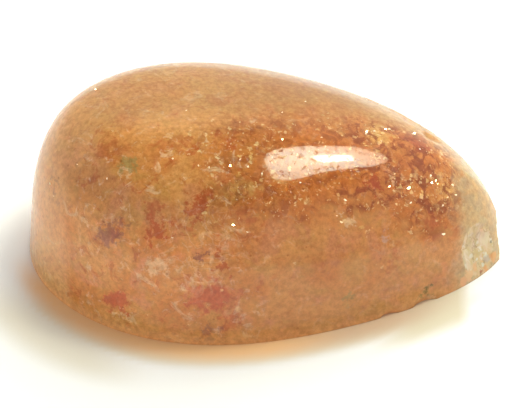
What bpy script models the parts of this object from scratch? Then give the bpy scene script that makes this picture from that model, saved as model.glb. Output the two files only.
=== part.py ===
"""A pear-shaped sunstone cabochon with a flat base, a domed top and a broken tip.

The stone lies on its flat base. X runs from the blunt end to the tip, Y across, Z up.
The origin is under the middle of the stone, in the plane of the base.
"""

import math
from typing import NamedTuple

import bmesh
import bpy
from mathutils import Euler, Matrix, Vector

MM = 0.001

# The stone as it was ground, before its tip broke off
LENGTH = 15.1 * MM
WIDTH = 10.0 * MM
HEIGHT = 5.4 * MM
WALL_HEIGHT = 1.1 * MM
APEX_FROM_BLUNT_END = 3.3 * MM

# The pear in plan: 0 is an ellipse, 1 a drop with a sharp point. The near side is the sharper one.
NEAR_SIDE_POINT = 0.48
FAR_SIDE_POINT = 0.23

# How full the dome is above the wall: 2 is an ellipse, more is squarer in the shoulder
BLUNT_END_FULLNESS = 2.90
TIP_FULLNESS = 2.38

# The sides lean in by this share for each metre of height
LEAN = 0.026 / MM

# Hand grinding leaves slow waves round the outline: (waves in a turn, share of the radius, phase)
GRINDING_WAVES = ((3, 0.007, math.radians(86)), (5, 0.009, math.radians(182)))

BASE_EDGE_ROUNDING = 0.12 * MM
BASE_EDGE_STEPS = 2

STEPS_ROUND = 96
DOME_RINGS = 20
WALL_RINGS = 2


class Chip(NamedTuple):
    """One flake that came off, as the hollow ball that it leaves.

    angle and height say where on the ground surface, facing and tilt which way the break looks
    (degrees; negative angles are on the near side, where -Y points), bite how deep it goes.
    """

    name: str
    angle: float
    height: float
    facing: float
    tilt: float
    radius: float
    bite: float
    detail: int


CHIPS = (
    Chip("tip_end_break", 0, 0.7 * MM, 2, 4, 7.0 * MM, 0.17 * MM, 5),
    Chip("tip_near_break", -29, 0.8 * MM, -41, 16, 3.4 * MM, 0.135 * MM, 5),
    Chip("tip_base_step", -7, 0.0 * MM, -22, -35, 0.9 * MM, 0.34 * MM, 4),
    Chip("tip_far_flake", 21, 0.9 * MM, 50, 10, 2.4 * MM, 0.11 * MM, 4),
    Chip("shoulder_flat", 28, 3.5 * MM, 47, 48, 5.0 * MM, 0.07 * MM, 5),
    Chip("shoulder_nick", 43, 3.8 * MM, 60, 35, 0.60 * MM, 0.11 * MM, 3),
    Chip("ridge_nick", 17, 3.5 * MM, 40, 40, 0.50 * MM, 0.09 * MM, 3),
    Chip("base_nick_near_tip", -51, 0.0 * MM, -60, -10, 0.70 * MM, 0.14 * MM, 3),
    Chip("base_nick_near_side", -60, 0.0 * MM, -70, -10, 0.50 * MM, 0.10 * MM, 3),
    Chip("base_nick_blunt_end", 163, 0.0 * MM, 165, -15, 0.60 * MM, 0.11 * MM, 3),
    Chip("base_nick_far_side", 98, 0.0 * MM, 90, -15, 0.80 * MM, 0.12 * MM, 3),
)

STONE_COLOUR = (0.53, 0.23, 0.09, 1.0)
STONE_ROUGHNESS = 0.06
FELDSPAR_IOR = 1.54
STONE_TRANSMISSION = 0.5


def drop_curve(angle, point):
    """Half-width of a drop of unit half-width at a plan angle measured from its tip."""
    widest = math.acos(-point / (2 + point))
    most = math.sin(widest) * math.sin(widest / 2) ** point
    return math.sin(angle) * abs(math.sin(angle / 2)) ** point / most


def outline_at(angle):
    """The point of the stone's outline, in plan, at an angle from the tip."""
    point = NEAR_SIDE_POINT if math.sin(angle) < 0 else FAR_SIDE_POINT
    return Vector((LENGTH / 2 * math.cos(angle), WIDTH / 2 * drop_curve(angle, point), 0))


def fullness_at(angle):
    """The dome's fullness, which changes slowly from the blunt end to the tip."""
    middle = (TIP_FULLNESS + BLUNT_END_FULLNESS) / 2
    return middle + (TIP_FULLNESS - BLUNT_END_FULLNESS) / 2 * math.cos(angle)


def skin_at(angle, height):
    """The point of the ground surface at a plan angle and a height above the base."""
    above_wall = max(height - WALL_HEIGHT, 0) / (HEIGHT - WALL_HEIGHT)
    fullness = fullness_at(angle)
    share = (1 - LEAN * height) * max(1 - above_wall**fullness, 0) ** (1 / fullness)
    share *= 1 + sum(size * math.cos(n * angle + phase) for n, size, phase in GRINDING_WAVES)
    apex = Vector((APEX_FROM_BLUNT_END - LENGTH / 2, 0, 0))
    return apex + (outline_at(angle) - apex) * share + Vector((0, 0, height))


def make_material():
    """The honey-brown, half clear body colour."""
    material = bpy.data.materials.new("sunstone")
    material.use_nodes = True
    shader = material.node_tree.nodes["Principled BSDF"]
    shader.inputs["Base Color"].default_value = STONE_COLOUR
    shader.inputs["Roughness"].default_value = STONE_ROUGHNESS
    shader.inputs["Metallic"].default_value = 0.0
    shader.inputs["IOR"].default_value = FELDSPAR_IOR
    shader.inputs["Transmission Weight"].default_value = STONE_TRANSMISSION
    return material


def half_ball_on_a_drum(bm):
    """A unit half ball standing on a unit drum. Below the rim, each ring is one step of Z down."""
    bmesh.ops.create_uvsphere(
        bm, u_segments=STEPS_ROUND, v_segments=2 * DOME_RINGS, radius=1
    )
    below = [v for v in bm.verts if v.co.z < -1e-6]
    bmesh.ops.delete(bm, geom=below, context="VERTS")
    for _ in range(WALL_RINGS):
        rim = [e for e in bm.edges if e.is_boundary]
        made = bmesh.ops.extrude_edge_only(bm, edges=rim)["geom"]
        lower = [v for v in made if isinstance(v, bmesh.types.BMVert)]
        bmesh.ops.translate(bm, verts=lower, vec=(0, 0, -1))
    rim = [e for e in bm.edges if e.is_boundary]
    bmesh.ops.contextual_create(bm, geom=rim)


def shape_to_stone(bm):
    """Moves every vertex of the half ball and its drum to its place on the stone."""
    for vertex in bm.verts:
        x, y, z = vertex.co
        angle = math.atan2(y, x)
        if z < 0:
            height = WALL_HEIGHT * (1 + round(z) / WALL_RINGS)
        else:
            rise = min(max(z, 0), 1) ** (2 / fullness_at(angle))
            height = WALL_HEIGHT + (HEIGHT - WALL_HEIGHT) * rise
        vertex.co = skin_at(angle, height)


def make_stone(collection, material):
    """The whole ground stone, with its base edge just eased."""
    bm = bmesh.new()
    half_ball_on_a_drum(bm)
    shape_to_stone(bm)
    bmesh.ops.recalc_face_normals(bm, faces=bm.faces)
    mesh = bpy.data.meshes.new("sunstone")
    bm.to_mesh(mesh)
    bm.free()
    mesh.materials.append(material)
    stone = bpy.data.objects.new("sunstone", mesh)
    collection.objects.link(stone)
    easing = stone.modifiers.new("eased base edge", "BEVEL")
    easing.width = BASE_EDGE_ROUNDING
    easing.segments = BASE_EDGE_STEPS
    easing.limit_method = "ANGLE"
    easing.angle_limit = math.radians(60)
    return stone


def make_scoop(collection, chip):
    """A ball that reaches into the surface by the depth of the bite, on the chip's facing side."""
    bm = bmesh.new()
    bmesh.ops.create_icosphere(bm, subdivisions=chip.detail, radius=chip.radius)
    mesh = bpy.data.meshes.new(chip.name)
    bm.to_mesh(mesh)
    bm.free()
    mesh.shade_smooth()
    scoop = bpy.data.objects.new(chip.name, mesh)
    collection.objects.link(scoop)

    touched = skin_at(math.radians(chip.angle), chip.height)
    facing = Euler((0, -math.radians(chip.tilt), math.radians(chip.facing)))
    outward = facing.to_matrix() @ Vector((1, 0, 0))
    scoop.location = touched + outward * (chip.radius - chip.bite)
    scoop.rotation_euler = facing
    scoop.hide_render = True
    scoop.display_type = "WIRE"
    return scoop


def break_chips_off(stone, cutters):
    """Takes each chip out of the stone with its own Boolean."""
    for chip in CHIPS:
        scoop = make_scoop(cutters, chip)
        scoop.parent = stone.parent
        cut = stone.modifiers.new(chip.name, "BOOLEAN")
        cut.operation = "DIFFERENCE"
        cut.solver = "EXACT"
        cut.object = scoop


def finished_bounds(stone):
    """Lowest and highest corner of the stone with its modifiers."""
    bpy.context.view_layer.update()
    evaluated = stone.evaluated_get(bpy.context.evaluated_depsgraph_get())
    corners = [evaluated.matrix_world @ Vector(corner) for corner in evaluated.bound_box]
    low = Vector(min(corner[i] for corner in corners) for i in range(3))
    high = Vector(max(corner[i] for corner in corners) for i in range(3))
    return low, high


def new_collection(name):
    """A collection in the scene."""
    collection = bpy.data.collections.new(name)
    bpy.context.scene.collection.children.link(collection)
    return collection


def main():
    for leftover in list(bpy.data.objects):
        bpy.data.objects.remove(leftover)
    parts = new_collection("sunstone")
    cutters = new_collection("cutters")
    cutters.hide_render = True

    seat = bpy.data.objects.new("seat", None)
    parts.objects.link(seat)
    stone = make_stone(parts, make_material())
    stone.parent = seat
    break_chips_off(stone, cutters)
    stone.data.shade_smooth()

    # The broken tip makes the stone shorter at one end, so the origin goes under the new middle
    low, high = finished_bounds(stone)
    middle = (low + high) / 2
    seat.matrix_world = Matrix.Translation((-middle.x, -middle.y, -low.z))


main()
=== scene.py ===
# %% [markdown]
# # A sunstone cabochon
#
# Sunstone is a feldspar that grew with thin plates of copper and iron oxide inside it. The plates
# lie nearly parallel, so they flash together where light meets them at the right angle.
# This stone was ground by hand into a pear with a flat base and a high dome, and its tip has
# broken off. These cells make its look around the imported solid: the polished body, the break,
# the plates and specks inside, and a plain white table with soft light.

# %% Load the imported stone
import math

import bpy
import numpy as np
from mathutils import Euler, Matrix, Vector, noise
from mathutils.bvhtree import BVHTree


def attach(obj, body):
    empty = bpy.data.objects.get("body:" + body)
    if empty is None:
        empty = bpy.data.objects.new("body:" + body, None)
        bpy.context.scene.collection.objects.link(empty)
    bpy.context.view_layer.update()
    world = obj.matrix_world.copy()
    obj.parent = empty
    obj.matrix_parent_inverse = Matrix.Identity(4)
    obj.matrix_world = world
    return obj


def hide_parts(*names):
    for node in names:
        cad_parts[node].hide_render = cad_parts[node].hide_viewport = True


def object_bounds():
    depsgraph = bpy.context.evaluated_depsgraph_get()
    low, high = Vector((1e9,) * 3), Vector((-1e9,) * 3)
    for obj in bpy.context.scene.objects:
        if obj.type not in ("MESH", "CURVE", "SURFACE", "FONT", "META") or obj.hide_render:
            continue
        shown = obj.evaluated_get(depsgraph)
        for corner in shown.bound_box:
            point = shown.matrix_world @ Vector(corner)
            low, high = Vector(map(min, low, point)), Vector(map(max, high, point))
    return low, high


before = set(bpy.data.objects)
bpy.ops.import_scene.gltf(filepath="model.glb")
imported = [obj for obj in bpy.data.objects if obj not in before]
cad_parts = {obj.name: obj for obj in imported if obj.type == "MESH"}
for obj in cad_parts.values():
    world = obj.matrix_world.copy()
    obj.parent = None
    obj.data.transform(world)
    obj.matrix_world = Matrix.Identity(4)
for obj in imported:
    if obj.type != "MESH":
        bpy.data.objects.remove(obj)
cad_low, cad_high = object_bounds()
MM = 0.001
print("packed stone, mm:", [round(side / MM, 2) for side in cad_high - cad_low])

# %% [markdown]
# ## The pear
#
# A cabochon is ground in plan first, then domed. Seen from above its outline is a drop, and every
# level above the base is the same drop, drawn in towards the highest point. So one formula
# gives the whole surface: a plan angle says where round the drop, a height says how far up.
# Modelling it by hand in sculpt mode would work too, but a formula stays exact at any mesh density
# and can be matched to a photograph with a handful of numbers. All sizes here are millimetres.

# %% Sizes of the ground stone
LENGTH, WIDTH, HEIGHT = 15.1, 10.0, 5.4
WALL_HEIGHT = 1.1
APEX_X = 3.3 - LENGTH / 2
NEAR_SIDE_POINT, FAR_SIDE_POINT = 0.48, 0.23
BLUNT_END_FULLNESS, TIP_FULLNESS = 2.90, 2.38
LEAN_PER_MM = 0.026
GRINDING_WAVES = ((3, 0.007, math.radians(86)), (5, 0.009, math.radians(182)))
BASE_EDGE_ROUNDING = 0.012


# %% The ground surface as a formula
def drop_curve(angle, point):
    """Half-width of a drop of unit half-width, at plan angles measured from its tip."""
    widest = math.acos(-point / (2 + point))
    most = math.sin(widest) * math.sin(widest / 2) ** point
    return np.sin(angle) * np.abs(np.sin(angle / 2)) ** point / most


def fullness_at(angle):
    """How square the dome's shoulder is, from the blunt end round to the tip."""
    middle = (TIP_FULLNESS + BLUNT_END_FULLNESS) / 2
    return middle + (TIP_FULLNESS - BLUNT_END_FULLNESS) / 2 * np.cos(angle)


def ground_radius(angle, height):
    """Distance and direction of the ground surface from the upright line through the apex."""
    near, far = drop_curve(angle, NEAR_SIDE_POINT), drop_curve(angle, FAR_SIDE_POINT)
    x = LENGTH / 2 * np.cos(angle) - APEX_X
    y = WIDTH / 2 * np.where(np.sin(angle) < 0, near, far)
    share = 1 - LEAN_PER_MM * height
    above_wall = np.clip((height - WALL_HEIGHT) / (HEIGHT - WALL_HEIGHT), 0, 1)
    share = share * (1 - above_wall ** fullness_at(angle)) ** (1 / fullness_at(angle))
    share = share * (1 + sum(a * np.cos(n * angle + phase) for n, a, phase in GRINDING_WAVES))
    reach = np.hypot(x, y)
    inset = np.clip(BASE_EDGE_ROUNDING - height, 0, None)
    eased = BASE_EDGE_ROUNDING - np.sqrt(BASE_EDGE_ROUNDING**2 - inset**2)
    return reach * share - eased, np.stack([x / reach, y / reach], -1)


# %% [markdown]
# ## The broken tip and the nicks
#
# Feldspar chips like glass: each flake leaves a shallow, slightly rippled hollow with a crisp rim.
# Each hollow is a ball that reaches a little way into the stone. A Boolean modifier could cut them,
# but the surface is already a distance from an upright line, so the cut is simply the nearer of
# two distances: to the ground surface or to the ball. That keeps an even mesh across the rim,
# and lets the broken faces carry ripples and a mark for the rougher finish.

# %% Where flakes came off
# name: plan angle, height, facing, tilt (degrees and mm), radius of the ball, depth of the bite
CHIPS = {
    "tip end break": (0, 0.7, 2, 4, 7.0, 0.17),
    "tip near break": (-29, 0.80, -41, 16, 3.4, 0.135),
    "tip base step": (-7, 0.0, -22, -35, 0.9, 0.34),
    "tip far flake": (21, 0.9, 50, 10, 2.4, 0.11),
    "shoulder flat": (28, 3.5, 47, 48, 5.0, 0.07),
    "shoulder nick": (43, 3.8, 60, 35, 0.60, 0.11),
    "ridge nick": (17, 3.5, 40, 40, 0.50, 0.09),
    "base nick near tip": (-51, 0.0, -60, -10, 0.70, 0.14),
    "base nick near side": (-60, 0.0, -70, -10, 0.50, 0.10),
    "base nick blunt end": (163, 0.0, 165, -15, 0.60, 0.11),
    "base nick far side": (98, 0.0, 90, -15, 0.80, 0.12),
}


def chip_ball(angle, height, facing, tilt, radius, bite):
    """Centre and radius of the ball that hollows out one chip."""
    above_edge = np.float64(max(height, BASE_EDGE_ROUNDING))
    reach, way = ground_radius(np.radians(angle), above_edge)
    touched = Vector((APEX_X + reach * way[0], reach * way[1], height))
    turn = Euler((0, -math.radians(tilt), math.radians(facing))).to_matrix()
    outward = turn @ Vector((1, 0, 0))
    return np.array(touched + outward * (radius - bite)), radius


balls = [chip_ball(*values) for values in CHIPS.values()]
print("chips:", len(balls))

# %% The surface with its chips
RIPPLE_HEIGHT = 0.006
RIPPLE_LENGTH = 0.30
RIPPLE_UP, RIPPLE_ACROSS = 0.8, 0.6
ROUGH_HEIGHT = 0.040
ROUGH_LENGTH = 0.35


def break_texture(point):
    """Small ripples and steps across a broken face, in mm."""
    place = Vector(point)
    along = place.z * RIPPLE_UP + place.y * RIPPLE_ACROSS
    ripple = math.sin(2 * math.pi * along / RIPPLE_LENGTH)
    rough = noise.fractal(place / ROUGH_LENGTH, 1.0, 2.0, 3)
    return RIPPLE_HEIGHT * ripple + ROUGH_HEIGHT * rough


def chipped_surface(angle, height):
    """Points of the surface, and 1 where a flake came off."""
    reach, way = ground_radius(angle, height)
    broken = np.zeros_like(reach)
    for centre, radius in balls:
        beside = np.full_like(reach, APEX_X - centre[0])
        before = np.full_like(reach, -centre[1])
        from_centre = np.stack([beside, before, height - centre[2]], -1)
        along = (from_centre[..., :2] * way).sum(-1)
        inside = along**2 - (from_centre**2).sum(-1) + radius**2
        entry = np.where(inside > 0, -along - np.sqrt(np.clip(inside, 0, None)), np.inf)
        hit = (entry > 0) & (entry < reach)
        for index in zip(*np.nonzero(hit)):
            place = (
                APEX_X + entry[index] * way[index][0],
                entry[index] * way[index][1],
                height[index],
            )
            reach[index] = min(reach[index], entry[index] + break_texture(place))
        broken[hit] = 1
    points = np.stack([APEX_X + reach * way[..., 0], reach * way[..., 1], height], -1)
    return points, broken


# %% [markdown]
# ## The body mesh
#
# Rings of points run round the stone from the base to the apex. The points of a ring crowd together
# near the tip, where the breaks need fine detail, and the rings crowd at the wall and at the apex.
# The base is a flat disc. A plain grid like this shades smoothly and has no slivers. It replaces
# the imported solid, whose coarser facets would show in the long highlight.

# %% Build the body
STEPS_ROUND = 560
CROWDING_AT_TIP = 0.55
CROWDING_OF_RINGS = 0.8
WALL_RINGS, DOME_RINGS, EDGE_RINGS = 18, 128, 5
BASE_DISC = (0.985, 0.8, 0.5, 0.2)


def ring_heights():
    """Plan angles of the points of a ring, and the height of each ring at each of them."""
    turn = np.linspace(0, 2 * np.pi, STEPS_ROUND, endpoint=False)
    angle = turn - CROWDING_AT_TIP * np.sin(turn)
    edge = BASE_EDGE_ROUNDING * (1 - np.cos(np.linspace(0, np.pi / 2, EDGE_RINGS)))
    wall = np.linspace(BASE_EDGE_ROUNDING, WALL_HEIGHT, WALL_RINGS)[1:]
    step = np.linspace(0, 1, DOME_RINGS + 1)[1:-1]
    rise = np.pi / 2 * (step - CROWDING_OF_RINGS * np.sin(2 * np.pi * step) / (2 * np.pi))
    share = np.sin(rise)[:, None] ** (2 / fullness_at(angle))
    dome = WALL_HEIGHT + (HEIGHT - WALL_HEIGHT) * share
    level = np.concatenate([edge, wall])[:, None] * np.ones_like(angle)
    return angle, np.concatenate([level, dome])


def mark_points(mesh, name, values):
    """Gives every point of a mesh a number that a shader can read."""
    marks = mesh.attributes.new(name, "FLOAT", "POINT")
    marks.data.foreach_set("value", values.astype(np.float32))


def build_body():
    """The stone's mesh, with a mark on the broken faces."""
    angle, heights = ring_heights()
    points, broken = chipped_surface(np.broadcast_to(angle, heights.shape), heights)
    middle = points[0].mean(0)
    disc = [middle + (points[0] - middle) * share for share in BASE_DISC[::-1]]
    rings = np.concatenate([np.array(disc), points])
    marks = np.concatenate([np.zeros((len(disc), STEPS_ROUND)), broken])
    vertices = np.concatenate([[middle], rings.reshape(-1, 3), [(APEX_X, 0, HEIGHT)]])
    marks = np.concatenate([[0], marks.ravel(), [0]])
    count = len(rings)
    first = 1 + np.arange(STEPS_ROUND)
    following = 1 + (np.arange(STEPS_ROUND) + 1) % STEPS_ROUND
    faces = [(0, b, a) for a, b in zip(first, following)]
    for ring in range(count - 1):
        low, high = ring * STEPS_ROUND, (ring + 1) * STEPS_ROUND
        faces += [(a + low, b + low, b + high, a + high) for a, b in zip(first, following)]
    top = (count - 1) * STEPS_ROUND
    faces += [(a + top, b + top, len(vertices) - 1) for a, b in zip(first, following)]
    mesh = bpy.data.meshes.new("cabochon")
    mesh.from_pydata(vertices.tolist(), [], [tuple(int(i) for i in face) for face in faces])
    mark_points(mesh, "broken", marks)
    mesh.shade_smooth()
    return mesh


body_mesh = build_body()
coordinates = np.array([vertex.co for vertex in body_mesh.vertices])
blunt_end = coordinates[:, 0].min()
middle_across = (coordinates[:, 1].min() + coordinates[:, 1].max()) / 2
packed_middle_across = (cad_low.y + cad_high.y) / 2 / MM
shift = Vector((cad_low.x / MM - blunt_end, packed_middle_across - middle_across, 0))
print("faces:", len(body_mesh.polygons))
print("shift to the packed frame, mm:", [round(v, 3) for v in shift])
body_mesh.transform(Matrix.Scale(MM, 4) @ Matrix.Translation(shift))
body = bpy.data.objects.new("cabochon", body_mesh)
bpy.context.scene.collection.objects.link(body)


def packed_mm(x, y, z):
    """A place given in the pear's own millimetres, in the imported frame's millimetres."""
    return Vector((x, y, z)) + shift


def packed(x, y, z):
    """A place given in the pear's own millimetres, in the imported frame's metres."""
    return packed_mm(x, y, z) * MM


# %% [markdown]
# ## A short way to write shader nodes
#
# Each helper adds one node and returns its main output. Feeding outputs straight into the next call
# keeps a long node graph readable from the inside out.


# %% Node helpers
def feed(tree, socket, value):
    """Gives a socket a number, a colour or another node's output."""
    if isinstance(value, bpy.types.NodeSocket):
        tree.links.new(value, socket)
    else:
        socket.default_value = value


def add_node(tree, kind, inputs=None, output=0, **settings):
    """Adds one shader node and feeds its inputs."""
    made = tree.nodes.new(kind)
    for name, value in settings.items():
        setattr(made, name, value)
    for name, value in (inputs or {}).items():
        feed(tree, made.inputs[name], value)
    return made.outputs[output]


def arithmetic(tree, operation, first, second=0.0):
    """One Math node."""
    return add_node(tree, "ShaderNodeMath", {0: first, 1: second}, operation=operation)


def times(tree, first, second):
    """One number times another."""
    return arithmetic(tree, "MULTIPLY", first, second)


def plus(tree, first, second):
    """The sum of two numbers."""
    return arithmetic(tree, "ADD", first, second)


def minus(tree, first, second):
    """One number less another."""
    return arithmetic(tree, "SUBTRACT", first, second)


def vector(tree, operation, first, second):
    """One Vector Math node. SCALE takes a number second; a distance or product comes out as one."""
    inputs = {0: first, "Scale" if operation == "SCALE" else 1: second}
    result = "Value" if operation in ("DISTANCE", "DOT_PRODUCT") else "Vector"
    return add_node(tree, "ShaderNodeVectorMath", inputs, output=result, operation=operation)


def between(tree, value, low, high):
    """0 below low, 1 above high, smooth between. With low above high it falls instead."""
    return add_node(
        tree,
        "ShaderNodeMapRange",
        {"Value": value, "From Min": low, "From Max": high},
        interpolation_type="SMOOTHSTEP",
    )


def cloud(tree, where, per_mm, detail=2.0, roughness=0.5, warp=0.0):
    """Noise with so many features to the millimetre, from 0 to 1."""
    inputs = {"Vector": where, "Scale": per_mm, "Detail": detail, "Roughness": roughness}
    return add_node(tree, "ShaderNodeTexNoise", {**inputs, "Distortion": warp})


def stray(tree, place, per_mm, detail, roughness, reach):
    """Moves a place a little this way and that, so that what is drawn there comes out ragged."""
    inputs = {"Vector": place, "Scale": per_mm, "Detail": detail, "Roughness": roughness}
    wobble = add_node(tree, "ShaderNodeTexNoise", inputs, output="Color")
    wobble = vector(tree, "SUBTRACT", wobble, (0.5, 0.5, 0.5))
    return vector(tree, "ADD", place, vector(tree, "SCALE", wobble, reach))


def blend(tree, share, under, over, kind="MIX"):
    """Lays one colour over another."""
    made = tree.nodes.new("ShaderNodeMix")
    made.data_type = "RGBA"
    made.blend_type = kind
    for name, value in (("Factor_Float", share), ("A_Color", under), ("B_Color", over)):
        feed(tree, next(s for s in made.inputs if s.identifier == name), value)
    return next(s for s in made.outputs if s.identifier == "Result_Color")


def millimetre_place(tree):
    """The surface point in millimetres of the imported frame."""
    return vector(tree, "SCALE", add_node(tree, "ShaderNodeTexCoord", output="Object"), 1 / MM)


def new_material(name):
    """A material, its node tree and its Principled shader."""
    made = bpy.data.materials.new(name)
    made.use_nodes = True
    tree = made.node_tree
    return made, tree, tree.nodes["Principled BSDF"]


# %% [markdown]
# ## The feldspar
#
# The stone is cloudy: light enters, scatters and comes out orange, and a little goes straight
# through. So the shader is mostly subsurface scattering, with some plain transmission and
# absorption. It is less cloudy at the foot, or light would leak out along the sharp base edge.
# The colour is a stack of soft three-dimensional noises, as the real clouds run through the stone.

# %% Colours of the feldspar
AMBER = (0.66, 0.275, 0.075, 1)
HONEY = (0.73, 0.370, 0.120, 1)
ROSY_TAN = (0.70, 0.310, 0.150, 1)
OLIVE_TAN = (0.62, 0.360, 0.100, 1)
BURNT_ORANGE = (0.60, 0.205, 0.036, 1)
DARK_AMBER = (0.33, 0.078, 0.018, 1)
RUST = (0.50, 0.105, 0.030, 1)
RED_CLOUD = (0.58, 0.130, 0.055, 1)
PURPLE_BROWN = (0.27, 0.105, 0.085, 1)
CREAM = (0.90, 0.68, 0.42, 1)
# the next colour is painted shade: a darker tan laid high on the far side
BACK_TAN_PAINTED_SHADE = (0.38, 0.220, 0.080, 1)
# the next colour is painted light: the orange glow where light comes out along the base edge
BASE_PAINTED_GLOW = (0.92, 0.500, 0.230, 1)
PALE_TIP = (0.80, 0.62, 0.33, 1)
PALE_TIP_GREY = (0.72, 0.62, 0.38, 1)
PALE_END = (0.78, 0.45, 0.20, 1)
MOSS = (0.30, 0.29, 0.11, 1)
DARK_GREEN = (0.13, 0.16, 0.03, 1)
LILAC = (0.62, 0.50, 0.45, 1)
# the next colour is partly the plates' copper colour and partly painted glints
PALE_GOLD_AND_GLINT = (1.0, 0.80, 0.42, 1)
OLIVE_GOLD = (0.80, 0.52, 0.17, 1)
LEFT_DRIFT = (1.11, 1.05, 1.01, 1)
RIGHT_DRIFT = (0.92, 0.82, 0.75, 1)
# the next colour is painted shade, laid over the top to make it darker and greyer
TOP_PAINTED_SHADE = (0.84, 0.90, 0.92, 1)
WHITE_CREAM = (1.0, 0.94, 0.80, 1)
BROKEN_CREAM = (0.99, 0.83, 0.62, 1)
BROKEN_PINK = (0.98, 0.68, 0.52, 1)
BROKEN_ORANGE = (0.98, 0.54, 0.26, 1)
BROKEN_GRAIN = (1.0, 0.92, 0.76, 1)
CRACK = (0.50, 0.34, 0.17, 1)
# the next colour is painted light: the orange glow at the foot of the broken tip
FOOT_PAINTED_GLOW = (0.98, 0.46, 0.18, 1)
MOTTLE_DARK, MOTTLE_LIGHT = (0.58, 0.46, 0.40, 1), (1.40, 1.46, 1.52, 1)

# %% [markdown]
# ## Blotches that can be told apart
#
# Noise gives clouds of the right kind, but not the very ones that this stone has. Those that the
# eye finds first are listed by place and drawn as ragged balls of one colour. A painted texture
# could hold them too, but a short list is easier to read and to move about.

# %% Blotches in the polished stone
# name: place in the pear's mm, radius, colour, strength
BLOTCHES = {
    "green cloud": ((-4.2, -2.5, 4.9), 0.34, MOSS, 0.60),
    "purple patch": ((-4.8, -3.65, 3.2), 0.40, PURPLE_BROWN, 0.65),
    "purple patch's tail": ((-4.3, -3.75, 3.55), 0.28, PURPLE_BROWN, 0.45),
    "red patch middle": ((-3.4, -3.95, 3.7), 0.42, RUST, 0.85),
    "red patch above it": ((-3.45, -3.7, 4.15), 0.30, RUST, 0.6),
    "red streak high": ((-2.1, -3.6, 4.25), 0.36, RUST, 0.85),
    "red streak's end": ((-1.75, -3.4, 4.4), 0.26, RUST, 0.7),
    "red patch low": ((-1.95, -4.78, 1.7), 0.66, RED_CLOUD, 0.80),
    "red patch low right": ((-1.2, -4.75, 1.6), 0.46, RED_CLOUD, 0.50),
    "red patch left": ((-4.55, -4.2, 1.1), 0.46, RED_CLOUD, 0.80),
    "red patch far left": ((-5.7, -3.4, 1.5), 0.38, RED_CLOUD, 0.50),
    "brown patch top left": ((-4.3, -0.9, 5.2), 0.60, RUST, 0.35),
    "brown patch top": ((-2.9, -1.9, 5.15), 0.45, RUST, 0.40),
    "dark spot middle": ((-2.05, -4.4, 3.05), 0.20, PURPLE_BROWN, 0.7),
    "red streak middle": ((-1.35, -4.45, 2.85), 0.30, RUST, 0.75),
    "dark patch base": ((-1.8, -4.95, 0.4), 0.36, PURPLE_BROWN, 0.55),
    "green streak": ((2.4, -3.95, 1.0), 0.24, MOSS, 0.5),
    "dark green spot": ((4.75, -2.95, 0.3), 0.22, DARK_GREEN, 0.75),
    "dark red spot right": ((3.1, -2.05, 3.8), 0.34, RUST, 0.95),
    "brown patch by the highlight": ((-1.35, -1.45, 4.9), 0.45, RUST, 0.6),
    "brown patch left of it": ((-2.3, -1.9, 5.0), 0.32, RUST, 0.6),
    "red patch above the highlight": ((2.1, 0.15, 4.8), 0.30, RUST, 0.6),
    "red patch far": ((4.5, 0.15, 3.7), 0.50, RUST, 0.8),
    "red patch far left": ((3.9, 0.75, 4.0), 0.34, RUST, 0.7),
    "red patch right": ((5.0, -2.05, 2.5), 0.34, RUST, 0.6),
    "purple spot left": ((-6.4, -1.75, 3.3), 0.40, PURPLE_BROWN, 0.40),
    "rosy spot right": ((3.9, -3.1, 1.8), 0.32, RUST, 0.35),
    "red spot at base": ((3.9, -3.5, 0.15), 0.26, RUST, 0.6),
    "cream patch": ((-3.4, -4.35, 2.65), 0.42, CREAM, 0.55),
    "cream patch low": ((-4.4, -4.35, 0.6), 0.24, CREAM, 0.6),
    "cream patch high": ((-0.9, -3.1, 4.5), 0.50, OLIVE_TAN, 0.6),
    "cream cluster": ((2.2, -3.1, 3.3), 0.26, CREAM, 0.7),
    "pale spot right": ((3.8, -1.5, 3.8), 0.26, CREAM, 0.55),
    "blue-white spot": ((3.55, -2.85, 2.7), 0.22, LILAC, 0.5),
    "golden cluster back": ((3.3, -0.2, 4.4), 0.50, OLIVE_GOLD, 0.6),
    "golden cluster right": ((5.4, -1.15, 2.95), 0.55, OLIVE_GOLD, 0.6),
}

# %% Marks on the broken face and at its foot
# again name: place in the pear's mm, radius, colour, strength
FACE_MARKS = {
    "brown line": ((6.58, -1.62, 0.10), 0.10, (0.30, 0.16, 0.08, 1), 0.8),
    "white by the hole": ((6.93, -0.82, 0.86), 0.14, WHITE_CREAM, 0.9),
    # the next is painted shade: a dark spot standing for the shade in a small hole
    "painted shade of a small hole": ((6.90, -0.89, 0.80), 0.07, (0.26, 0.22, 0.14, 1), 0.9),
    "pale crystal": ((6.72, -1.18, 0.50), 0.11, WHITE_CREAM, 0.95),
    "pale crystal left": ((6.52, -1.27, 0.74), 0.09, WHITE_CREAM, 0.9),
    "pale crystal high": ((6.95, -0.80, 0.65), 0.08, WHITE_CREAM, 0.9),
    "pale crystal low": ((6.40, -1.50, 0.50), 0.07, WHITE_CREAM, 0.8),
    "lilac haze": ((6.78, -1.20, 0.36), 0.16, LILAC, 0.65),
    "lilac haze high": ((6.50, -1.20, 1.25), 0.16, LILAC, 0.4),
    # the next two are painted shade along the left edge of the broken face
    "painted shade by the break": ((6.05, -1.93, 0.85), 0.16, CRACK, 0.5),
    "painted shade by the break, high": ((6.30, -1.45, 1.30), 0.18, CRACK, 0.45),
    "grey vein": ((6.62, -1.42, 0.95), 0.10, CRACK, 0.6),
    "grey vein low": ((6.72, -1.30, 0.28), 0.09, CRACK, 0.6),
    "pale crystal right": ((6.98, -0.98, 0.45), 0.08, WHITE_CREAM, 0.95),
    "pink crystal": ((6.62, -1.36, 0.60), 0.10, BROKEN_PINK, 0.9),
}

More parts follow.
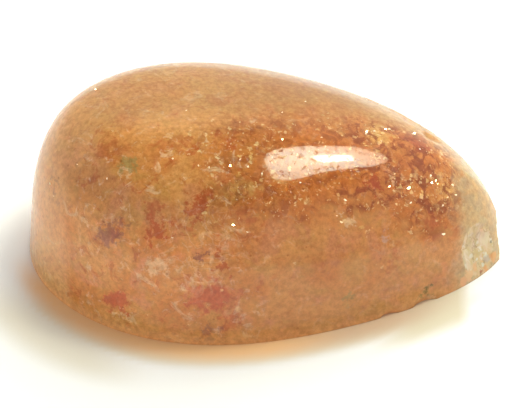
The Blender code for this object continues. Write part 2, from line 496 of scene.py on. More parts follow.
# and for the foot of the tip, across the rim of the break
FOOT_MARKS = {
    "salmon streak low": ((5.98, -2.12, 0.14), 0.17, (1.0, 0.50, 0.26, 1), 0.9),
    "salmon streak": ((6.18, -1.95, 0.26), 0.20, (1.0, 0.56, 0.30, 1), 1.0),
    "salmon streak high": ((6.42, -1.70, 0.34), 0.16, (1.0, 0.54, 0.28, 1), 0.95),
    "white in the streak": ((6.25, -1.88, 0.36), 0.07, (1.0, 0.82, 0.60, 1), 0.9),
    # the next two are painted glow, where light comes out at the base edge of the tip
    "painted glow at the corner": ((6.98, -1.05, 0.26), 0.20, FOOT_PAINTED_GLOW, 0.95),
    "painted glow at the foot": ((6.75, -1.40, 0.08), 0.14, FOOT_PAINTED_GLOW, 0.8),
    "rusty end": ((6.62, -1.58, 0.16), 0.09, RUST, 0.8),
}
print("blotches and marks:", len(BLOTCHES) + len(FACE_MARKS) + len(FOOT_MARKS))

# %% Painting them
# where a blotch begins and where it is full, as shares of its radius
BLOTCH_LIMIT, BLOTCH_CORE = 1.10, 0.60


def paint_blotches(tree, place, colour, blotches, raggedness):
    """Adds each blotch as a ragged ball of colour."""
    ragged = stray(tree, place, 2.4, 5.0, 0.68, raggedness)
    for centre, radius, tint, strength in blotches.values():
        away = vector(tree, "DISTANCE", ragged, packed_mm(*centre))
        inside = between(tree, away, radius * BLOTCH_LIMIT, radius * BLOTCH_CORE)
        colour = blend(tree, times(tree, inside, strength), colour, tint)
    return colour


# %% [markdown]
# ## The rich layer, the clear tip and the pale rim
#
# The crystal grew in layers. One of them, rich in plates, crosses the stone on a slant and makes the
# dark orange band. Each zone is a smooth share from 0 to 1 with its limit roughened by noise.

# %% Where the stone is rich, clear or pale
LAYER_MIDDLE = (0.9, -1.7, 0)
LAYER_NORMAL = (-0.26, 0.966, 0)
LAYER_RAGGEDNESS = 2.0
RIM_SLANT = 0.32


def coordinate(tree, place, axis):
    """One coordinate of a place."""
    return add_node(tree, "ShaderNodeSeparateXYZ", {0: place}, output=axis)


def along_stone(tree, place, start, end):
    """A share that changes along the stone's length."""
    return between(tree, coordinate(tree, place, "X"), start, end)


def with_height(tree, place, start, end):
    """A share that changes with the height above the base."""
    return between(tree, coordinate(tree, place, "Z"), start, end)


def across_layer(tree, place):
    """How far a place lies behind the middle of the slanting rich layer, in mm, with ragged limits."""
    from_middle = vector(tree, "SUBTRACT", place, packed_mm(*LAYER_MIDDLE))
    behind = vector(tree, "DOT_PRODUCT", from_middle, LAYER_NORMAL)
    ragged = minus(tree, cloud(tree, place, 1.5, 5.0, 0.6), 0.5)
    return plus(tree, behind, times(tree, ragged, LAYER_RAGGEDNESS))


def flake_band(tree, place, behind):
    """The slanting layer, rich in plates, that crosses the top of the stone."""
    within = times(tree, between(tree, behind, -1.8, -1.3), between(tree, behind, 2.0, 1.0))
    within = times(tree, within, with_height(tree, place, 1.4, 2.4))
    return times(tree, within, along_stone(tree, place, -2.9, -0.4))


def far_rim(tree, place):
    """The paler skin along the far side, towards the tip."""
    across = coordinate(tree, place, "Y")
    outward = plus(tree, across, times(tree, coordinate(tree, place, "X"), RIM_SLANT))
    ragged = times(tree, cloud(tree, place, 1.8, 3.0), 0.6)
    rim = between(tree, plus(tree, outward, ragged), 1.80, 2.60)
    return times(tree, rim, along_stone(tree, place, 1.2, 4.4))


# %% [markdown]
# ## Flecks of every size
#
# The finest flecks are too small and too many to be meshes. Cells of a Voronoi pattern stand for
# them: each cell draws lots, and the lots decide whether it holds a fleck, how big and how pale.
# Three patterns, from coarse to fine, give the mix of glowing clusters and pin-sharp points. Their
# pale gold is partly the plates' copper colour and partly painted glints.


# %% Fine flecks in the surface
SMALLEST_FLECK = 0.35


def draw_lots(tree, place, per_mm):
    """A random colour for each small cell."""
    return add_node(
        tree,
        "ShaderNodeTexVoronoi",
        {"Vector": place, "Scale": per_mm, "Randomness": 1.0},
        output="Color",
        feature="F1",
    )


def one_lot(tree, lots, which):
    """One of the three lots that a cell has drawn."""
    return add_node(tree, "ShaderNodeSeparateColor", {0: lots}, output=which)


def flecks(tree, place, per_mm, radius, softness, chance):
    """Round flecks up to a radius in mm, in a share of the cells: how strong, and their lots."""
    lots = draw_lots(tree, place, per_mm)
    size = plus(tree, one_lot(tree, lots, "Green"), SMALLEST_FLECK)
    size = times(tree, size, radius * per_mm / (1 + SMALLEST_FLECK))
    beyond = minus(tree, lots.node.outputs["Distance"], size)
    disc = between(tree, beyond, softness * per_mm, -softness * per_mm)
    chosen = arithmetic(tree, "LESS_THAN", one_lot(tree, lots, "Red"), chance)
    return times(tree, disc, chosen), lots


# %% Streaks, clusters and points of the rich layer
# where flecks crowd, in the pear's mm
CROWDED = ((3.2, -0.2, 4.4), (5.3, -1.15, 3.0), (4.3, -1.7, 3.4))

# cells to the mm, radius, softness, chance in the rich layer, chance elsewhere, strength
FLECK_PATTERNS = (
    (3.0, 0.12, 0.060, 0.42, 0.02, 0.38),
    (6.0, 0.075, 0.022, 0.42, 0.006, 0.75),
    (12.0, 0.036, 0.010, 0.32, 0.005, 0.85),
)


def streaks_and_painted_glints(tree, place, band, colour):
    """Lays dark streaks, soft clusters and points of pale gold over the rich layer: the plates' copper
    colour and painted glints.
    """
    streaks = between(tree, cloud(tree, place, 2.4, 5.0, 0.68, 0.8), 0.48, 0.58)
    darker_right = plus(tree, times(tree, along_stone(tree, place, 1.8, 3.2), 0.34), 0.54)
    streaks = times(tree, times(tree, streaks, band), darker_right)
    colour = blend(tree, streaks, colour, DARK_AMBER)
    crowd = between(tree, cloud(tree, place, 1.5, 3.0, 0.6), 0.42, 0.60)
    for centre in CROWDED:
        away = vector(tree, "DISTANCE", place, packed_mm(*centre))
        crowd = arithmetic(tree, "MAXIMUM", crowd, between(tree, away, 1.0, 0.3))
    place = stray(tree, place, 8.0, 2.0, 0.5, 0.22)
    place = vector(tree, "ADD", place, (3.7, 1.9, 8.3))
    # gold flecks: partly the plates' own colour, partly painted glints that shine from every side
    for per_mm, radius, softness, in_layer, elsewhere, strength in FLECK_PATTERNS:
        chance = times(tree, times(tree, band, crowd), in_layer)
        chance = plus(tree, chance, elsewhere)
        spot, lots = flecks(tree, place, per_mm, radius, softness, chance)
        tint = blend(tree, one_lot(tree, lots, "Blue"), OLIVE_GOLD, PALE_GOLD_AND_GLINT)
        colour = blend(tree, times(tree, spot, strength), colour, tint)
    return colour


# %% [markdown]
# ## The body colour, laid from below to above
#
# The order is that of a painter: broad clouds first, then single blotches, threads and flecks, and
# last the slow changes from one end of the stone to the other, with painted shade on the top and
# back and a painted glow at the foot. Each line lays one thing over all that came before it, so any
# of them can be left out to see what it does.

# %% Clouds, threads and zones
WISPS_MIDDLE = (-2.0, -4.2, 3.0)


def wisps(tree, place):
    """Thin pale threads, where a warped noise crosses its middle value, gathered in one part."""
    crossing = minus(tree, cloud(tree, place, 0.9, 4.0, 0.55, 1.0), 0.5)
    thread = between(tree, arithmetic(tree, "ABSOLUTE", crossing), 0.030, 0.0)
    away = vector(tree, "DISTANCE", place, packed_mm(*WISPS_MIDDLE))
    return times(tree, thread, between(tree, away, 1.9, 0.6))


def clouds(tree, place, elsewhere, band):
    """The large clouds, and the rusty and creamy ones that thin out to the right."""
    colour = blend(tree, between(tree, cloud(tree, place, 0.6, 3.0), 0.36, 0.62), AMBER, HONEY)
    rosy = between(tree, cloud(tree, place, 0.9, 3.0, 0.5, 0.8), 0.50, 0.66)
    colour = blend(tree, times(tree, rosy, 0.6), colour, ROSY_TAN)
    olive = between(tree, cloud(tree, elsewhere, 1.1, 4.0, 0.6, 0.6), 0.50, 0.66)
    colour = blend(tree, times(tree, olive, 0.5), colour, OLIVE_TAN)
    colour = blend(tree, times(tree, band, 0.70), colour, BURNT_ORANGE)
    rusty = between(tree, cloud(tree, place, 1.7, 5.0, 0.68, 1.2), 0.54, 0.64)
    less_right = minus(tree, 0.55, times(tree, along_stone(tree, place, -1.0, 1.5), 0.40))
    colour = blend(tree, times(tree, rusty, less_right), colour, RUST)
    creamy = between(tree, cloud(tree, elsewhere, 1.6, 5.0, 0.70, 1.5), 0.54, 0.68)
    less_right = minus(tree, 0.60, times(tree, along_stone(tree, place, -1.0, 1.5), 0.40))
    colour = blend(tree, times(tree, creamy, less_right), colour, CREAM)
    blunt_end = along_stone(tree, place, -5.7, -6.2)
    return blend(tree, times(tree, blunt_end, 0.6), colour, PALE_END)


def marks_and_flecks(tree, place, band, colour):
    """Single blotches, pale threads, dark freckles, and the streaks and gold flecks with painted
    glints.
    """
    colour = paint_blotches(tree, place, colour, BLOTCHES, 2.0)
    colour = blend(tree, times(tree, wisps(tree, place), 0.32), colour, CREAM)
    freckle, _ = flecks(tree, vector(tree, "ADD", place, (0.9, 5.1, 3.3)), 3.6, 0.05, 0.02, 0.16)
    colour = blend(tree, times(tree, freckle, 0.55), colour, DARK_AMBER)
    return streaks_and_painted_glints(tree, place, band, colour)


def zones(tree, place, elsewhere, behind, tip, colour):
    """A darker tan at the back and a darker, greyer top, both painted shade; the painted glow at the
    foot; the pale rim and tip; and the slow drift along the stone.
    """
    # painted shade: the back, high up, made a darker tan against the light from behind and above
    high = with_height(tree, place, 1.4, 4.4)
    back_painted_shade = times(tree, between(tree, behind, 0.4, 2.8), high)
    back_painted_shade = times(tree, back_painted_shade, along_stone(tree, place, -6.9, -4.9))
    colour = blend(tree, times(tree, back_painted_shade, 0.66), colour, BACK_TAN_PAINTED_SHADE)
    # painted glow: a brighter orange low down, where light comes out along the base edge
    low = with_height(tree, place, 0.50, 0.05)
    colour = blend(tree, times(tree, low, 0.65), colour, BASE_PAINTED_GLOW)
    colour = blend(tree, times(tree, far_rim(tree, place), 0.36), colour, PALE_TIP)
    patchy = between(tree, cloud(tree, elsewhere, 2.2, 4.0, 0.6, 0.5), 0.42, 0.58)
    pale = blend(tree, patchy, PALE_TIP, PALE_TIP_GREY)
    colour = blend(tree, times(tree, tip, 0.85), colour, pale)
    drift = blend(tree, along_stone(tree, place, -3.5, 1.5), LEFT_DRIFT, RIGHT_DRIFT)
    colour = blend(tree, 1.0, colour, drift, "MULTIPLY")
    # painted shade: the top, towards the blunt end and not at the back, made darker and greyer where
    # it gets the most light from above
    top_painted_shade = with_height(tree, place, 3.3, 4.3)
    top_painted_shade = times(tree, top_painted_shade, between(tree, behind, 1.8, 1.0))
    top_painted_shade = times(tree, top_painted_shade, along_stone(tree, place, 1.5, -1.0))
    return blend(tree, top_painted_shade, colour, TOP_PAINTED_SHADE, "MULTIPLY")


def clouded_colour(tree, place, band, behind, tip):
    """The body colour, from the large clouds down to the fine mottling."""
    elsewhere = vector(tree, "ADD", place, (31.0, 17.0, 5.0))
    colour = clouds(tree, place, elsewhere, band)
    colour = marks_and_flecks(tree, place, band, colour)
    colour = zones(tree, place, elsewhere, behind, tip, colour)
    mottle = between(tree, cloud(tree, place, 6.0, 4.0, 0.7), 0.25, 0.75)
    return blend(tree, 0.5, colour, blend(tree, mottle, MOTTLE_DARK, MOTTLE_LIGHT), "MULTIPLY")


# %% [markdown]
# ## The broken face
#
# A fresh break is unpolished, so it looks pale and frosted, with grains, a crack or two and orange
# light showing through low down. It fades into the body colour towards its upper rim.

# %% Colour of the broken face
def broken_colour(tree, place, colour, broken):
    """The pale, uneven look of the broken faces, with orange showing through low down."""
    streaky = vector(tree, "MULTIPLY", place, (1.0, 1.0, 0.6))
    creamy = between(tree, cloud(tree, streaky, 1.9, 5.0, 0.7, 1.0), 0.42, 0.60)
    face = blend(tree, creamy, PALE_TIP, BROKEN_CREAM)
    elsewhere = vector(tree, "ADD", streaky, (9.0, 4.0, 2.0))
    pink = between(tree, cloud(tree, elsewhere, 2.4, 4.0, 0.6, 0.8), 0.50, 0.62)
    face = blend(tree, times(tree, pink, 0.6), face, BROKEN_PINK)
    low = with_height(tree, place, 0.9, 0.3)
    face = blend(tree, times(tree, low, 0.45), face, BROKEN_ORANGE)
    crossing = minus(tree, cloud(tree, streaky, 1.3, 4.0, 0.6, 0.5), 0.5)
    crack = between(tree, arithmetic(tree, "ABSOLUTE", crossing), 0.020, 0.004)
    face = blend(tree, times(tree, crack, 0.75), face, CRACK)
    grain, _ = flecks(tree, place, 5.0, 0.085, 0.02, 0.35)
    face = blend(tree, times(tree, grain, 0.9), face, BROKEN_GRAIN)
    face = paint_blotches(tree, place, face, FACE_MARKS, 0.55)
    at_tip = times(tree, broken, along_stone(tree, place, 4.9, 5.5))
    melting = with_height(tree, place, 1.7, 0.8)
    share = plus(tree, times(tree, melting, 0.52), 0.40)
    colour = blend(tree, times(tree, at_tip, share), colour, face)
    return paint_blotches(tree, place, colour, FOOT_MARKS, 0.5)


# %% The feldspar shader
FELDSPAR_IOR = 1.54
POLISHED, BROKEN_ROUGHER_BY = 0.05, 0.22
CLEAR, TIP_CLEARER_BY = 0.16, 0.12
CLOUDY, FOOT_LESS_BY = 0.85, 0.80
SCATTER_COLOURS, SCATTER_REACH = (1.0, 0.65, 0.40), 1.2
INSIDE_COLOUR, INSIDE_DENSITY = (0.92, 0.64, 0.28, 1), 140.0
PIT_DEPTH = 0.006


def feldspar():
    """Cloudy orange feldspar, clearer at the tip, rough where it broke."""
    material, tree, shader = new_material("feldspar")
    place = millimetre_place(tree)
    broken = add_node(tree, "ShaderNodeAttribute", output="Fac", attribute_name="broken")
    behind = across_layer(tree, place)
    band = flake_band(tree, place, behind)
    along = coordinate(tree, place, "X")
    tip = plus(tree, along, times(tree, cloud(tree, place, 1.8, 3.0), 1.2))
    tip = between(tree, tip, 6.2, 7.0)
    colour = clouded_colour(tree, place, band, behind, tip)
    colour = broken_colour(tree, place, colour, broken)
    tree.links.new(colour, shader.inputs["Base Color"])

    roughness = plus(tree, times(tree, broken, BROKEN_ROUGHER_BY), POLISHED)
    tree.links.new(roughness, shader.inputs["Roughness"])
    pits = between(tree, cloud(tree, place, 6.5, 3.0, 0.6), 0.58, 0.66)
    pits = times(tree, pits, band)
    dents = {"Height": pits, "Distance": PIT_DEPTH * MM, "Strength": 1.0}
    dented = add_node(tree, "ShaderNodeBump", dents, invert=True)
    tree.links.new(dented, shader.inputs["Normal"])

    clear = plus(tree, times(tree, tip, TIP_CLEARER_BY), CLEAR)
    tree.links.new(clear, shader.inputs["Transmission Weight"])
    shader.inputs["IOR"].default_value = FELDSPAR_IOR
    foot = with_height(tree, place, 0.40, 0.05)
    cloudy = minus(tree, CLOUDY, times(tree, foot, FOOT_LESS_BY))
    tree.links.new(cloudy, shader.inputs["Subsurface Weight"])
    shader.inputs["Subsurface Radius"].default_value = SCATTER_COLOURS
    shader.inputs["Subsurface Scale"].default_value = SCATTER_REACH * MM
    absorbing = {"Color": INSIDE_COLOUR, "Density": INSIDE_DENSITY}
    inside = add_node(tree, "ShaderNodeVolumeAbsorption", absorbing)
    tree.links.new(inside, tree.nodes["Material Output"].inputs["Volume"])
    return material


body_mesh.materials.append(feldspar())
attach(body, "root")
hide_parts("sunstone")

# %% [markdown]
# ## What grew inside
#
# The plates are real meshes, thin six-sided prisms sunk in the body: copper-coloured ones that lie
# nearly parallel and flash, and smaller red and dark ones at odd angles. One joined mesh for each
# kind keeps the object light.

# %% Places inside the stone
random = np.random.default_rng(23)
tree_of_body = BVHTree.FromObject(body, bpy.context.evaluated_depsgraph_get())
CLEARANCE = 0.03 * MM
LEAST_DEPTH = 0.05


def places_inside(count, mean_depth, wanted):
    """Random places under the skin, in metres, kept as often as wanted(place) says."""
    areas = np.array([face.area for face in body_mesh.polygons])
    found = []
    while len(found) < count:
        for index in random.choice(len(areas), count, p=areas / areas.sum()):
            face = body_mesh.polygons[index]
            depth = (LEAST_DEPTH + random.exponential(mean_depth)) * MM
            place = face.center - face.normal * depth
            if random.random() > wanted((place / MM) - shift):
                continue
            nearest, normal, _, distance = tree_of_body.find_nearest(place)
            if distance < CLEARANCE or (place - nearest).dot(normal) > 0:
                continue
            found.append(place)
            if len(found) == count:
                break
    return found


# %% Plates of one kind, joined in one mesh
def plates(name, places, radius_of, thickness, lie, scatter, finish):
    """Joined six-sided plates. radius_of(number) is a plate's radius in mm.

    lie is the plates' common normal, scatter how far they stray from it.
    """
    corners = [(math.cos(a), math.sin(a)) for a in np.radians(np.arange(0, 360, 60))]
    vertices, faces = [], []
    for number, place in enumerate(places):
        normal = (Vector(lie).normalized() + Vector(random.normal(0, scatter, 3))).normalized()
        turn = normal.to_track_quat("Z", "Y").to_matrix()
        size = radius_of(number) * MM
        stretch = random.uniform(0.6, 1.0)
        spin = random.uniform(0, math.pi)
        start = len(vertices)
        for side in (-1, 1):
            for cx, cy in corners:
                x = cx * math.cos(spin) - cy * math.sin(spin)
                y = cx * math.sin(spin) + cy * math.cos(spin)
                corner = Vector((x * size, y * size * stretch, side * thickness / 2 * MM))
                vertices.append(place + turn @ corner)
        lower = [start + i for i in range(6)]
        upper = [start + 6 + i for i in range(6)]
        faces.append(lower[::-1])
        faces.append(upper)
        for i, j in zip(range(6), (1, 2, 3, 4, 5, 0)):
            faces.append([lower[i], lower[j], upper[j], upper[i]])
    mesh = bpy.data.meshes.new(name)
    mesh.from_pydata(vertices, [], faces)
    mesh.materials.append(finish)
    made = bpy.data.objects.new(name, mesh)
    bpy.context.scene.collection.objects.link(made)
    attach(made, "root")
    print(name, len(places), "pieces,", len(mesh.polygons), "faces")


# %% [markdown]
# ## Finishes of the plates
#
# Copper and iron oxide plates are as smooth as foil, so they are metals with a low roughness. The
# dark and the cream grains are other minerals: the same shader without the metal, and duller.

# %% Finishes
DULL = 0.4


def plate_finish(name, dark, light, roughness, metallic=1.0):
    """A finish whose colour drifts a little from place to place."""
    material, tree, shader = new_material(name)
    drift = between(tree, cloud(tree, millimetre_place(tree), 3.0, 1.0), 0.35, 0.65)
    tree.links.new(blend(tree, drift, dark, light), shader.inputs["Base Color"])
    shader.inputs["Metallic"].default_value = metallic
    shader.inputs["Roughness"].default_value = roughness
    return material


copper = plate_finish("copper plates", (1.0, 0.55, 0.22, 1), (1.0, 0.74, 0.42, 1), 0.12)
hematite = plate_finish("red plates", (0.45, 0.08, 0.03, 1), (0.75, 0.20, 0.06, 1), 0.25)
dark_ore = plate_finish("dark grains", (0.05, 0.02, 0.015, 1), (0.16, 0.05, 0.03, 1), DULL, 0.0)
cream_grain = plate_finish("cream grains", (1.0, 0.72, 0.42, 1), (1.0, 0.88, 0.66, 1), DULL, 0.0)
bright_gold = plate_finish("opened plates", (1.0, 0.78, 0.45, 1), (1.0, 0.92, 0.72, 1), 0.16)
print("finishes:", copper.name, hematite.name, dark_ore.name, cream_grain.name, bright_gold.name)

# %% [markdown]
# ## How the plates are scattered
#
# Most copper plates lie in the slanting layer across the top, so a place is drawn at random under
# the skin and kept more often inside that layer. Red plates and dark grains lie anywhere.

# %% Scatter them
FLASH_NORMAL = (0.30, -0.35, 0.885)
BAND_POINT, BAND_NORMAL = (-4.0, -2.5), (-0.130, 0.991)
CHANCE_OUTSIDE_BAND = 0.004
TIP_STARTS, CHANCE_IN_TIP = 5.6, 0.35


def in_band(place):
    """Much likelier in the rich layer across the top: full in its middle and high up."""
    along, across = place.x - BAND_POINT[0], place.y - BAND_POINT[1]
    aside = abs(along * BAND_NORMAL[0] + across * BAND_NORMAL[1])
    near_middle = max(0.0, min(1.0, (1.9 - aside) / 1.4))
    high_up = max(0.0, min(1.0, (place.z - 2.4) / 1.5))
    return CHANCE_OUTSIDE_BAND + (1 - CHANCE_OUTSIDE_BAND) * (near_middle * high_up)


def anywhere(place):
    """Evenly through the stone, thinning out in the clear tip."""
    return 1.0 if place.x < TIP_STARTS else CHANCE_IN_TIP


def drawn(smallest, largest):
    """Radii drawn by lot between two limits."""
    return lambda number: random.uniform(smallest, largest)


def listed(radii):
    """Radii taken from a list, one for each plate."""
    return lambda number: radii[number]


found = places_inside(4200, 0.35, in_band)
plates("copper_plates", found, drawn(0.025, 0.060), 0.006, FLASH_NORMAL, 0.16, copper)
found = places_inside(2600, 0.40, anywhere)
plates("red_plates", found, drawn(0.020, 0.060), 0.008, FLASH_NORMAL, 0.8, hematite)
found = places_inside(900, 0.30, anywhere)
plates("dark_grains", found, drawn(0.020, 0.045), 0.030, (0, 0, 1), 1.0, dark_ore)

# %% [markdown]
# ## Plates at the skin
#
# Polishing cuts some plates open. They lie flush with the skin and are the brightest points on the
# stone. Their places are listed one by one, because the eye finds its way by them.

# %% Plates that the polishing cut open
# x and y in the pear's mm, radius: first the ones that flash, then the duller cream ones
FLASHING = [
    (-1.14, -2.42, 0.050), (-1.03, -3.88, 0.052), (3.64, -1.87, 0.046), (4.23, -1.67, 0.060),
    (4.95, -1.19, 0.044), (5.08, -1.06, 0.036), (3.55, 0.18, 0.046), (4.46, 0.59, 0.052),
    (-5.36, 0.93, 0.024), (2.96, -0.21, 0.040), (5.14, -1.12, 0.030), (0.40, -1.25, 0.030),
]
CREAMY = [
    (-6.64, -1.67, 0.060), (-6.52, -2.02, 0.034),
    (-2.52, -0.36, 0.028), (-5.76, -1.98, 0.034), (-2.87, -2.36, 0.036), (-2.09, -2.53, 0.036),
    (-4.82, -2.71, 0.038), (-1.77, -2.56, 0.040), (-0.85, -2.18, 0.044), (-0.61, -2.37, 0.046),
    (-0.19, -2.51, 0.044), (-0.62, -3.95, 0.050), (-2.84, -4.15, 0.040), (0.95, -2.54, 0.036),
    (1.09, 0.71, 0.032), (0.39, -0.08, 0.034), (1.58, -0.91, 0.032), (2.96, -0.30, 0.064),
    (3.67, 0.25, 0.056), (4.40, 0.50, 0.050), (4.29, -2.01, 0.052), (4.92, -0.99, 0.046),
    (5.61, -0.88, 0.054), (5.71, -1.07, 0.054), (5.29, -1.59, 0.052), (5.33, -2.08, 0.080),
    (2.31, -2.63, 0.060), (2.19, -3.13, 0.064), (2.05, -3.05, 0.040), (3.20, -0.10, 0.050),
    (3.40, -0.45, 0.044), (4.60, -0.20, 0.040), (5.45, -1.30, 0.044), (3.80, -1.45, 0.040),
]
SUNK_BY = 0.004


def on_the_skin(x, y):
    """The skin above a point of the base plane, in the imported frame's metres."""
    place, normal, _, _ = tree_of_body.ray_cast(packed(x, y, HEIGHT + 1), Vector((0, 0, -1)))
    return place - normal * SUNK_BY * MM


for name, marks, finish, scatter in (
    ("flashing_plates", FLASHING, bright_gold, 0.03),
    ("creamy_plates", CREAMY, cream_grain, 0.25),
):
    found = [on_the_skin(x, y) for x, y, _ in marks]
    radii = [radius for _, _, radius in marks]
    plates(name, found, listed(radii), 0.012, FLASH_NORMAL, scatter, finish)

# %% [markdown]
# ## Table, light and camera
#
# The stone lies on white paper in bright room light, under a lit cloth panel with a brighter middle
# that hangs to the right and a little behind. The panel's mirror image is the long highlight on the
# dome, and the panel throws the soft shadow to the left.

# %% [markdown]
# ## The paper under the stone
#
# A stone that lets light through throws an orange glow on the paper right beside it, with a soft
# grey shade farther out. Tracing that light through a cloudy body takes very many samples, so the
# paper carries it as colour: each corner of its fine grid knows how far it lies from the outline.

# %% White table
TABLE_GAP = 0.004 * MM
PAPER, SHADE = (0.88, 0.89, 0.97, 1), (0.70, 0.64, 0.53, 1)
GLOW, RIGHT_GLOW = (0.86, 0.54, 0.29, 1), (0.64, 0.46, 0.33, 1)
PAPER_ROUGHNESS = 0.9

# how far each tint is pushed away from under the stone, in x and y
LEFT_LEAN, FRONT_LEAN = (-0.9, -1.2), (-0.2, -0.45)
TIP_LEAN, GLOW_LEAN = (0.25, -0.85), (0.0, -0.30)


def outside_by(points, lean):
    """Distance of points of the table from the stone's outline moved by a lean, 0 inside it, in mm."""
    angle = np.radians(np.arange(0, 360, 2.0))
    reach, way = ground_radius(angle, np.full_like(angle, BASE_EDGE_ROUNDING))
    middle = np.array([APEX_X + shift.x, shift.y]) + lean
    edge = middle + reach[:, None] * way
    away = np.sqrt(((points[:, None, :] - edge[None]) ** 2).sum(-1)).min(1)
    turn = np.arctan2(way[:, 1], way[:, 0])
    order = np.argsort(turn)
    x, y = (points - middle).T
    limit = np.interp(np.arctan2(y, x), turn[order], reach[order], period=2 * np.pi)
    return np.where(np.hypot(x, y) < limit, 0, away)


def falling(value, full, none):
    """1 up to full, 0 from none on, smooth between."""
    share = np.clip((none - value) / (none - full), 0, 1)
    return share * share * (3 - 2 * share)


# %% The table's grid: fine round the stone, coarse far away
fine = np.linspace(-14, 14, 141)
far = np.array([-1000, -300, -100, -30.0])
lines = np.concatenate([far, fine, -far[::-1]])
across, along = np.meshgrid(lines, lines)
flat = np.stack([across.ravel(), along.ravel()], -1)
count = len(lines)
table_mesh = bpy.data.meshes.new("table")
table_mesh.from_pydata(
    [(x * MM, y * MM, -TABLE_GAP) for x, y in flat],
    [],
    [(r * count + c, r * count + c + 1, (r + 1) * count + c + 1, (r + 1) * count + c)
     for r in range(count - 1) for c in range(count - 1)],
)
table_x, table_y = flat.T
front_left = falling(table_y, -4.0, -1.5) * falling(table_x, -5.5, -3.0)
left_shade = 0.66 * falling(outside_by(flat, LEFT_LEAN), 0.2, 1.3) * front_left
near = falling(table_y, -3.6, -2.2)
front_shade = 0.85 * falling(outside_by(flat, FRONT_LEAN), 0.20, 0.80) * near
under_tip = falling(-table_x, -4.8, -3.0) * falling(table_x, 6.0, 6.5)
tip_shade = falling(outside_by(flat, TIP_LEAN), 0.1, 0.8) * under_tip
glow = falling(outside_by(flat, GLOW_LEAN), 0.0, 0.75)
glow = glow * falling(table_x, 3.5, 6.6) * falling(table_y, -2.6, -0.5)
mark_points(table_mesh, "shade", np.maximum(np.maximum(left_shade, front_shade), tip_shade))
mark_points(table_mesh, "glow", glow)
table = bpy.data.objects.new("table", table_mesh)
bpy.context.scene.collection.objects.link(table)

# %% Finish of the paper
paper, paper_tree, paper_shader = new_material("white paper")
shade_share = add_node(paper_tree, "ShaderNodeAttribute", output="Fac", attribute_name="shade")
glow_share = add_node(paper_tree, "ShaderNodeAttribute", output="Fac", attribute_name="glow")
to_right = along_stone(paper_tree, millimetre_place(paper_tree), 0.0, 3.0)
glow_colour = blend(paper_tree, to_right, GLOW, RIGHT_GLOW)
tinted = blend(paper_tree, glow_share, blend(paper_tree, shade_share, PAPER, SHADE), glow_colour)
paper_tree.links.new(tinted, paper_shader.inputs["Base Color"])
paper_shader.inputs["Roughness"].default_value = PAPER_ROUGHNESS
table_mesh.materials.append(paper)
print("table corners:", len(flat))

# %% [markdown]
# ## Light
#
# A bright room comes from a world colour that is lighter behind than in front, with a darker
# ceiling. The highlight has the outline of the lit panel and fades towards its end, so the panel is
# one flat mesh with a glow that falls off from its brightest place, and a small hard lamp before it.
# Several round lamps side by side would be quicker to set up, but their edges show as lobes.

# %% Room light
BACK_WALL, FRONT_WALL = (0.92, 0.91, 0.83, 1), (0.72, 0.71, 0.64, 1)
CEILING = (0.25, 0.24, 0.21, 1)

world = bpy.data.worlds.new("bright room")
bpy.context.scene.world = world
world.use_nodes = True
world_tree = world.node_tree
direction = add_node(world_tree, "ShaderNodeTexCoord", output="Generated")
way_up = add_node(world_tree, "ShaderNodeSeparateXYZ", {0: direction}, output="Z")
way_back = add_node(world_tree, "ShaderNodeSeparateXYZ", {0: direction}, output="Y")
walls = blend(world_tree, between(world_tree, way_back, -0.75, 0.25), FRONT_WALL, BACK_WALL)
room = blend(world_tree, between(world_tree, way_up, 0.70, 0.86), walls, CEILING)
world_tree.links.new(room, world_tree.nodes["Background"].inputs["Color"])
print("light from behind:", BACK_WALL[:3], "from the front:", FRONT_WALL[:3])
print("light from above:", CEILING[:3])

# %% Lit panel
LAMP_HEIGHT = 0.25
LAMP_COLOUR = (0.98, 1.0, 0.80)

# the highlight is about this high on the dome, and the lamps are placed as it sees them
HIGHLIGHT = Vector((0, 0, 0.004))

# corners of the panel as it hangs over the stone, as shares of its height
PANEL_CORNERS = [
    (0.297, 0.315), (0.308, 0.375), (0.358, 0.428), (0.447, 0.480), (0.597, 0.565), (0.700, 0.585),
    (0.798, 0.566), (0.853, 0.458), (0.840, 0.362), (0.761, 0.212), (0.609, 0.092), (0.530, 0.010),
    (0.500, -0.065), (0.461, -0.111), (0.410, -0.080), (0.355, 0.064), (0.312, 0.210),
]
panel_mesh = bpy.data.meshes.new("lamp panel")
panel_mesh.from_pydata(
    [Vector((x, y, 1)) * LAMP_HEIGHT + HIGHLIGHT for x, y in PANEL_CORNERS],
    [],
    [range(len(PANEL_CORNERS))],
)
panel = bpy.data.objects.new("lamp panel", panel_mesh)
bpy.context.scene.collection.objects.link(panel)

# %% The panel's glow
# its brightest place, and how its strength falls off from there, all as shares of its height
PANEL_BRIGHTEST = (0.46, 0.24)
BRIGHT_WITHIN, FADED_FROM = 0.04, 0.44
FULL_STRENGTH, FADED_STRENGTH = 14.0, 4.8

cloth = bpy.data.materials.new("lit cloth")
cloth.use_nodes = True
cloth_tree = cloth.node_tree
cloth_tree.nodes.remove(cloth_tree.nodes["Principled BSDF"])
on_panel = add_node(cloth_tree, "ShaderNodeTexCoord", output="Object")
brightest = Vector((*PANEL_BRIGHTEST, 1)) * LAMP_HEIGHT + HIGHLIGHT
away = vector(cloth_tree, "DISTANCE", on_panel, brightest)
away = arithmetic(cloth_tree, "DIVIDE", away, LAMP_HEIGHT)
fade = {"Value": away, "From Min": BRIGHT_WITHIN, "From Max": FADED_FROM}
fade.update({"To Min": FULL_STRENGTH, "To Max": FADED_STRENGTH})
strength = add_node(cloth_tree, "ShaderNodeMapRange", fade)
lit = add_node(cloth_tree, "ShaderNodeEmission", {"Color": (*LAMP_COLOUR, 1), "Strength": strength})
cloth_tree.links.new(lit, cloth_tree.nodes["Material Output"].inputs["Surface"])
panel_mesh.materials.append(cloth)
print("panel corners:", len(PANEL_CORNERS))

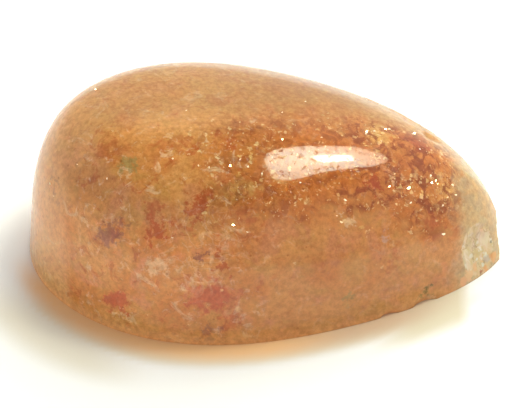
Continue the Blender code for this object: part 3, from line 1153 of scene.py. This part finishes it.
# %% Hard lamp before the panel's middle
# its place and sides as shares of its height, how far below the panel it hangs, and its radiance
MIDDLE_PLACE, MIDDLE_SIDES = (0.547, 0.283), (0.179, 0.101)
MIDDLE_BELOW = 0.002
MIDDLE_TURN = math.radians(31)
MIDDLE_RADIANCE = 30.0

middle_data = bpy.data.lights.new("lamp middle", "AREA")
middle_data.shape = "RECTANGLE"
middle_data.size, middle_data.size_y = [side * LAMP_HEIGHT for side in MIDDLE_SIDES]
middle_data.energy = MIDDLE_RADIANCE * math.pi * (middle_data.size * middle_data.size_y)
middle_data.color = LAMP_COLOUR
middle_lamp = bpy.data.objects.new("lamp middle", middle_data)
bpy.context.scene.collection.objects.link(middle_lamp)
middle_lamp.location = Vector((*MIDDLE_PLACE, 1)) * (LAMP_HEIGHT - MIDDLE_BELOW) + HIGHLIGHT
middle_lamp.rotation_euler = (0, 0, MIDDLE_TURN)
print("lamp middle, watts:", round(middle_data.energy, 3))

# %% Soft light from behind
SOFT_SIDE = 0.30
SOFT_WATTS = 1.3
soft_data = bpy.data.lights.new("soft light", "AREA")
soft_data.shape = "SQUARE"
soft_data.size = SOFT_SIDE
soft_data.energy = SOFT_WATTS
soft_data.color = LAMP_COLOUR
soft = bpy.data.objects.new("soft light", soft_data)
bpy.context.scene.collection.objects.link(soft)
soft.location = (0.12, 0.30, 0.34)
soft.rotation_euler = (Vector((0, 0, 0)) - soft.location).to_track_quat("-Z", "Y").to_euler()
soft.visible_glossy = False
print("soft light, m from the stone:", round(soft.location.length, 2))

# %% [markdown]
# ## Camera
#
# A long lens from well away, as for small things on a table. Height, turn and roll were found by
# laying the pear's outline over the photograph.

# %% Camera
ELEVATION, AZIMUTH, ROLL = math.radians(38.44), math.radians(1.0), math.radians(-0.276)
CAMERA_DISTANCE = 92.0
PIXELS_PER_MM, PICTURE_WIDTH = 32.02, 516
AIM = packed(-0.369, 0, 1.481)

camera_data = bpy.data.cameras.new("camera")
camera = bpy.data.objects.new("camera", camera_data)
bpy.context.scene.collection.objects.link(camera)
flat_share = math.cos(ELEVATION)
back = Vector((
    math.sin(AZIMUTH) * flat_share,
    -math.cos(AZIMUTH) * flat_share,
    math.sin(ELEVATION),
))
level = (-back).cross(Vector((0, 0, 1))).normalized()
up = level.cross(-back)
right = level * math.cos(ROLL) + up * math.sin(ROLL)
turned = Matrix((right, up * math.cos(ROLL) - level * math.sin(ROLL), back)).transposed().to_4x4()
camera.matrix_world = Matrix.Translation(AIM + back * CAMERA_DISTANCE * MM) @ turned
camera_data.sensor_width = 36.0
camera_data.lens = camera_data.sensor_width * CAMERA_DISTANCE * PIXELS_PER_MM / PICTURE_WIDTH
camera_data.clip_start, camera_data.clip_end = 0.001, 10.0
bpy.context.scene.camera = camera
bpy.context.scene.view_settings.view_transform = "Standard"
print("lens, mm:", round(camera_data.lens, 1))
